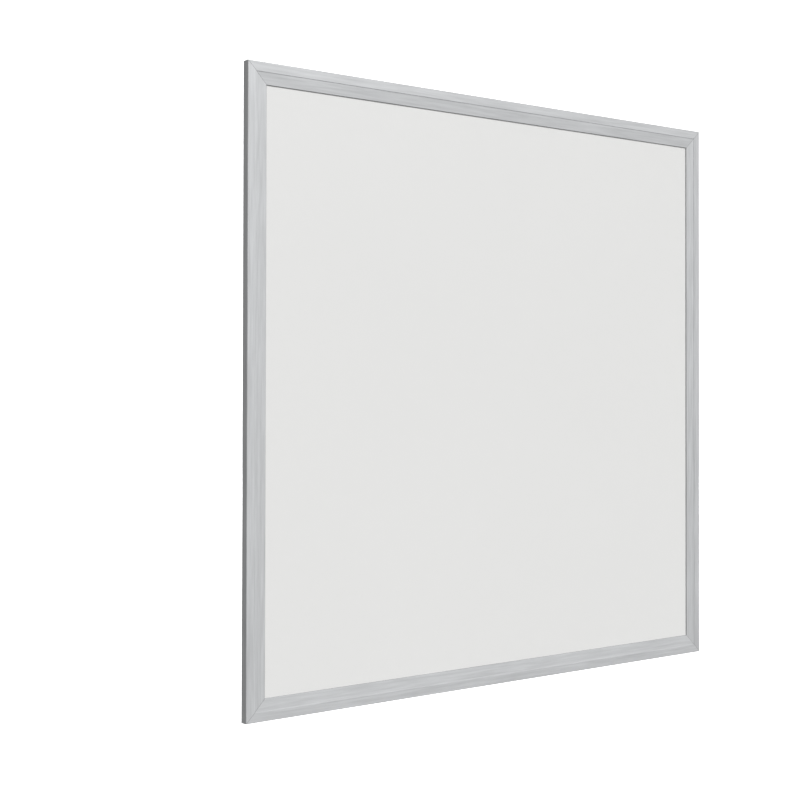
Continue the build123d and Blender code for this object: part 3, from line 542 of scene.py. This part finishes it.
# %% Find the separate solids of a part
def solid_boxes(name):
    """The (low, high) corners of each separate solid in a part."""
    shell = bmesh.new()
    shell.from_mesh(nodes[name].data)
    bmesh.ops.remove_doubles(shell, verts=shell.verts, dist=SAME_POINT)
    shell.verts.ensure_lookup_table()
    unseen = set(shell.verts)
    boxes = []
    while unseen:
        reached = [unseen.pop()]
        members = []
        while reached:
            vert = reached.pop()
            members.append(vert.co.copy())
            for edge in vert.link_edges:
                other = edge.other_vert(vert)
                if other in unseen:
                    unseen.remove(other)
                    reached.append(other)
        corners = [(min(v[i] for v in members), max(v[i] for v in members)) for i in range(3)]
        boxes.append((Vector([c[0] for c in corners]), Vector([c[1] for c in corners])))
    shell.free()
    return sorted(boxes, key=lambda box: tuple(round(v, 5) for v in box[0]))


# %% [markdown]
# ## One well-made screw
#
# A pan-head screw is turned: a profile spun round its axis. Its head has a soft dome and a rounded rim, and
# the shank carries a thread. The thread is a helix in truth; rings of alternating radius read the same at
# this size and stay light. The cross recess is cut with a Boolean by two tapered blades.


# %% Screw maker
def turned(profile, steps):
    """A closed solid from a (radius, height) profile that starts and ends on the axis, spun round Y."""
    solid = bmesh.new()
    turn = [2 * pi * i / steps for i in range(steps)]
    rings = []
    for radius, height in profile:
        if radius == 0:
            rings.append([solid.verts.new((0, height, 0))])
        else:
            rings.append([solid.verts.new((radius * cos(a), height, radius * sin(a))) for a in turn])
    for first, second in zip(rings, rings[1:]):
        for i in range(steps):
            j = (i + 1) % steps
            near = [first[i % len(first)], first[j % len(first)]]
            far = [second[j % len(second)], second[i % len(second)]]
            solid.faces.new(list(dict.fromkeys(near + far)))
    bmesh.ops.recalc_face_normals(solid, faces=solid.faces)
    return solid


# The recess's blades: length and width as shares of the head's radius, and what is left of both at the tip.
BLADE_LENGTH = 1.05
BLADE_WIDTH = 0.26
BLADE_TIP = 0.55


def screw_mesh(name, head_r, head_height, shank_r, length):
    dome = [(head_r * sin(a), head_height * (0.42 + 0.58 * cos(a))) for a in (0, 0.35, 0.7, 1.0, 1.25, 1.45)]
    profile = dome + [(head_r, 0.3 * head_height), (head_r, 0.1 * head_height), (0.97 * head_r, 0)]
    pitch = 0.8 * shank_r
    depth = -0.2 * shank_r
    profile.append((0.8 * shank_r, 0))
    while depth - pitch > -length + shank_r:
        profile.append((0.8 * shank_r, depth))
        profile.append((shank_r, depth - pitch / 2))
        depth -= pitch
    profile += [(0.75 * shank_r, -length + shank_r), (0, -length)]
    solid = turned(profile, 28)
    mesh = bpy.data.meshes.new(name)
    solid.to_mesh(mesh)
    solid.free()
    screw = bpy.data.objects.new(name, mesh)
    bpy.context.scene.collection.objects.link(screw)
    cross = bmesh.new()
    for quarter in (0, pi / 2):
        blade = bmesh.ops.create_cube(cross, size=1.0)["verts"]
        for vert in blade:
            taper = 1.0 if vert.co.y > 0 else BLADE_TIP
            vert.co.x *= head_r * BLADE_LENGTH * taper
            vert.co.z *= head_r * BLADE_WIDTH * taper
            vert.co.y = head_height * (1.3 if vert.co.y > 0 else 0.35)
            vert.co.rotate(Euler((0, quarter, 0)))
    cross_mesh = bpy.data.meshes.new("recess_cutter")
    cross.to_mesh(cross_mesh)
    cross.free()
    cutter = bpy.data.objects.new("recess_cutter", cross_mesh)
    bpy.context.scene.collection.objects.link(cutter)
    cut = screw.modifiers.new("recess", "BOOLEAN")
    cut.object = cutter
    cut.use_self = True
    bake_modifiers(screw)
    bpy.data.objects.remove(cutter)
    return screw


def bake_modifiers(piece):
    """Turns what an object's modifiers make into its plain mesh."""
    graph = bpy.context.evaluated_depsgraph_get()
    mesh = bpy.data.meshes.new_from_object(piece.evaluated_get(graph))
    piece.modifiers.clear()
    piece.data = mesh
    return piece


# %% [markdown]
# ## A tree that sets pieces on points
#
# The screws of one group are all the same, so Geometry Nodes place them. The input is a mesh with one point
# for each screw. The tree puts a screw on every point and turns each by its own random angle, as a power
# driver leaves them. Realize Instances makes real geometry of the result, and Set Material gives it its
# finish.


# %% The set-on-points tree
def set_on_points_tree():
    tree = bpy.data.node_groups.new("set_on_points", "GeometryNodeTree")
    kinds = {
        "Geometry": "NodeSocketGeometry",
        "Piece": "NodeSocketObject",
        "Turn": "NodeSocketFloat",
        "Seed": "NodeSocketInt",
        "Finish": "NodeSocketMaterial",
    }
    for label, kind in kinds.items():
        tree.interface.new_socket(label, in_out="INPUT", socket_type=kind)
    tree.interface.new_socket("Geometry", in_out="OUTPUT", socket_type="NodeSocketGeometry")
    graph = Graph(tree)
    start = tree.nodes.new("NodeGroupInput")
    given = {label: Wire(graph, start.outputs[label]) for label in kinds}
    piece = graph.add("GeometryNodeObjectInfo", None, {"Object": given["Piece"]}, out="Geometry")
    chance = {2: 0.0, 3: given["Turn"], "Seed": given["Seed"]}
    angle = graph.add("FunctionNodeRandomValue", {"data_type": "FLOAT"}, chance, out=1)
    turn = graph.add("ShaderNodeCombineXYZ", None, {"Y": angle})
    spin = graph.add("FunctionNodeEulerToRotation", None, {0: turn})
    sockets = {"Points": given["Geometry"], "Instance": piece, "Rotation": spin}
    placed = graph.add("GeometryNodeInstanceOnPoints", None, sockets)
    real = graph.add("GeometryNodeRealizeInstances", None, {0: placed})
    dressed = graph.add("GeometryNodeSetMaterial", None, {"Geometry": real, "Material": given["Finish"]})
    graph.add("NodeGroupOutput", None, {"Geometry": dressed})
    return tree


def grow(name, start_mesh, tree, values):
    """Runs a geometry tree on a mesh and returns its result as a plain mesh object at the origin."""
    piece = bpy.data.objects.new(name, start_mesh)
    bpy.context.scene.collection.objects.link(piece)
    modifier = piece.modifiers.new("grow", "NODES")
    modifier.node_group = tree
    for item in tree.interface.items_tree:
        if item.item_type == "SOCKET" and item.in_out == "INPUT" and item.name in values:
            modifier[item.identifier] = values[item.name]
    bake_modifiers(piece)
    piece.data.set_sharp_from_angle(angle=radians(40))
    return piece


def points_mesh(places):
    mesh = bpy.data.meshes.new("places")
    mesh.from_pydata([tuple(p) for p in places], [], [])
    return mesh


set_on_points = set_on_points_tree()

# %% [markdown]
# ## Drive the screws in
#
# Each group's first solid gives the sizes of its screw: how wide the head is and how long the screw is. The
# head's height and the shank's thickness can't be read from the box, so they are listed. The seat is the
# plane under the head.

# %% Screws
# For each group: the head's height in millimetres, and the shank's radius as a share of the head's.
SCREW_GROUPS = {
    "cover_screws": (1.9, 0.49),
    "driver_screws": (2.2, 0.5),
    "lid_screws": (1.4, 0.49),
    "clamp_screws": (1.4, 0.49),
    "board_screws": (1.3, 0.51),
}
for seed, (name, (head_mm, shank_share)) in enumerate(SCREW_GROUPS.items()):
    boxes = solid_boxes(name)
    corner, far = boxes[0]
    head_r = (far.x - corner.x) / 2
    head_height = head_mm * MM
    seats = [((a + b) / 2).xz for a, b in boxes]
    places = [(seat.x, b.y - head_height, seat.y) for seat, (a, b) in zip(seats, boxes)]
    length = far.y - corner.y - head_height
    pattern = screw_mesh(f"{name}_pattern", head_r, head_height, shank_share * head_r, length)
    values = {"Piece": pattern, "Turn": 2 * pi, "Seed": seed, "Finish": finishes[slot_of[name]]}
    stand_in(grow(f"{name}_set", points_mesh(places), set_on_points, values), name)
    bpy.data.objects.remove(pattern)
    print(name, len(places), "screws")

# %% [markdown]
# ## LED packages
#
# Each LED is a white package with a pool of yellow phosphor. The model's solid is the package, so only the
# pools are added: a low rounded lens on the middle of each package, set by the same tree with no turn.

# %% Phosphor pools
led_boxes = solid_boxes("leds")
led_low, led_high = led_boxes[0]
pool_r = (led_high.x - led_low.x) * 0.38
pool_rise = 0.12 * MM
pool = turned([(0, -pool_rise), (0.6 * pool_r, -0.8 * pool_rise), (pool_r, 0), (0, 0)], 20)
pool_mesh = bpy.data.meshes.new("phosphor_pool")
pool.to_mesh(pool_mesh)
pool.free()
pool_pattern = bpy.data.objects.new("phosphor_pool", pool_mesh)
bpy.context.scene.collection.objects.link(pool_pattern)
middles = [((a.x + b.x) / 2, a.y, (a.z + b.z) / 2) for a, b in led_boxes]
phosphor = moulded("phosphor", (0.85, 0.62, 0.05), 0.3, 2500, 0.005)
pools = grow(
    "phosphor_pools",
    points_mesh(middles),
    set_on_points,
    {"Piece": pool_pattern, "Turn": 0.0, "Seed": 1, "Finish": phosphor},
)
bpy.data.objects.remove(pool_pattern)
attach(pools, body_of["leds"])
print("phosphor pools:", len(middles))

# %% [markdown]
# ## The stage
#
# The panel stands on a plain pale floor that curves up into a backdrop far behind it, so no horizon cuts
# the picture. The stage must reach past the camera in every other view too, so it is a wide disc whose rim
# turns up. It glows a little. It is hidden from bounced light and casts no shadow, so it stays white and
# leaves the lighting to the lamps.


# %% Stage
def white_stage(graph, place):
    cloud = graph.noise(place, 0.6, 2.0)
    paint = graph.mix(cloud, (0.90, 0.90, 0.90), (0.92, 0.92, 0.92))
    return {"Base Color": paint, "Roughness": 0.9 - cloud * 0.05}


STAGE_R = 7.0
SWEEP_R = 3.0
WALL_TOP = 9.0
FLAT_RINGS = (1.0, 3.0)
sweep = [(SWEEP_R * sin(a), SWEEP_R * (1 - cos(a))) for a in (pi / 2 * i / 16 for i in range(17))]
stage_profile = [(radius, 0) for radius in FLAT_RINGS]
stage_profile += [(STAGE_R - SWEEP_R + r, h) for r, h in sweep] + [(STAGE_R, WALL_TOP)]
stage_mesh = bpy.data.meshes.new("stage")
stage_shape = bmesh.new()
steps = 96
turn = [2 * pi * i / steps for i in range(steps)]
rings = []
for radius, height in stage_profile:
    rings.append([stage_shape.verts.new((radius * cos(a), radius * sin(a), low.z + height)) for a in turn])
centre = stage_shape.faces.new(rings[0])
for first, second in zip(rings, rings[1:]):
    for i in range(steps):
        j = (i + 1) % steps
        stage_shape.faces.new((first[i], first[j], second[j], second[i]))
bmesh.ops.recalc_face_normals(stage_shape, faces=stage_shape.faces)
if centre.normal.z < 0:
    bmesh.ops.reverse_faces(stage_shape, faces=stage_shape.faces)
stage_shape.to_mesh(stage_mesh)
stage_shape.free()
stage_mesh.shade_smooth()
stage = bpy.data.objects.new("stage", stage_mesh)
glow = {"Emission_Color": (1, 1, 1, 1), "Emission_Strength": 0.66}
stage_mesh.materials.append(finish("stage_white", white_stage, **glow))
bpy.context.scene.collection.objects.link(stage)
stage.visible_diffuse = False
stage.visible_glossy = False
stage.visible_shadow = False

# %% [markdown]
# ## Light
#
# A real studio lights a flat panel from far away, so that its top and bottom are equally bright. A sun lamp
# does so too: its rays are parallel, and its angle sets how soft the shadows are. It shines from above and
# a little from the right, so the upper rim's slope and the thin left edge stay darker than the face. A soft
# lamp behind rakes across the back, so its ribs show, and the world adds an even grey fill.


# %% Lamps
def add_lamp(name, kind, place, power, **settings):
    lamp = bpy.data.lights.new(name, kind)
    lamp.energy = power
    for setting, value in settings.items():
        setattr(lamp, setting, value)
    holder = bpy.data.objects.new(name, lamp)
    holder.location = place
    holder.rotation_euler = (-Vector(place)).to_track_quat("-Z", "Y").to_euler()
    bpy.context.scene.collection.objects.link(holder)


add_lamp("key_lamp", "SUN", (0.8, -3.0, 2.3), 2.75, angle=radians(24))
add_lamp("back_lamp", "AREA", (2.8, 2.0, 1.6), 125, shape="DISK", size=1.8)
world = bpy.data.worlds.new("studio")
world.use_nodes = True
world.node_tree.nodes["Background"].inputs["Color"].default_value = (1, 1, 1, 1)
world.node_tree.nodes["Background"].inputs["Strength"].default_value = 0.36
bpy.context.scene.world = world
bpy.context.scene.view_settings.view_transform = "Standard"
